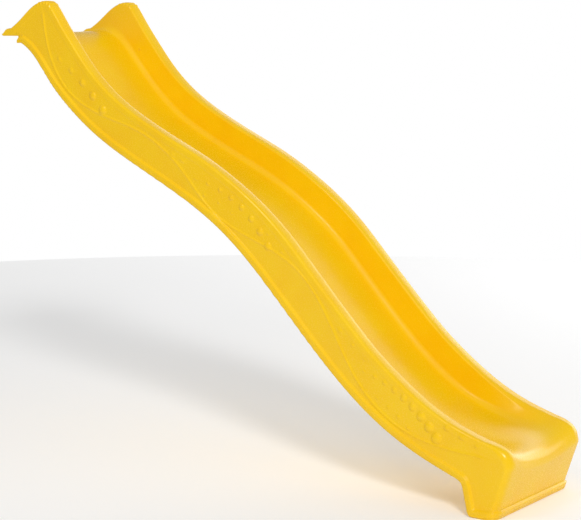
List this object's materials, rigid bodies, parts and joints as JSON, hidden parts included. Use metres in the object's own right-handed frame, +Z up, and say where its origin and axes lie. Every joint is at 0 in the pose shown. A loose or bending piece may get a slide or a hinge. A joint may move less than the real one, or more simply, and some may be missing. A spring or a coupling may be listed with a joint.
{
  "type": "wave slide",
  "caption": "Wave slide for a raised play platform: hollow plastic chute with raised side rims, hand-hold ears, platform hook, closed foot, screws and a hose port.",
  "frame": {"origin": "on the top of the platform, midway between the two platform screws", "axes": "+X runs downhill towards the foot, +Y across the slide, +Z up; the platform's front edge is at X = +45 mm and the ground 1503 mm below the platform top"},
  "size_m": [2.1922, 0.51, 1.6331],
  "materials": {
    "yellow_moulding": "glossy blow-moulded polyethylene",
    "yellow_underside": "satin blow-moulded polyethylene",
    "zinc_steel": "bright zinc plate",
    "washer_steel": "pressed stainless steel",
    "yellow_cap": "satin injection-moulded plastic",
    "black_plastic": "satin black nylon",
    "black_rubber": "matt rubber",
    "yellow_nozzle": "satin injection-moulded plastic",
    "clear_tube": "translucent soft vinyl"
  },
  "bodies": {
    "root": {"chute_shell": "yellow_moulding", "underside_shell": "yellow_underside", "platform_screw_left": "zinc_steel", "platform_screw_right": "zinc_steel", "cup_washer_left": "washer_steel", "cup_washer_right": "washer_steel", "screw_cap_left": "yellow_cap", "screw_cap_right": "yellow_cap", "hose_port": "black_plastic", "port_seal": "black_rubber", "spray_nozzle": "yellow_nozzle", "water_tube": "clear_tube"}
  },
  "joints": []
}
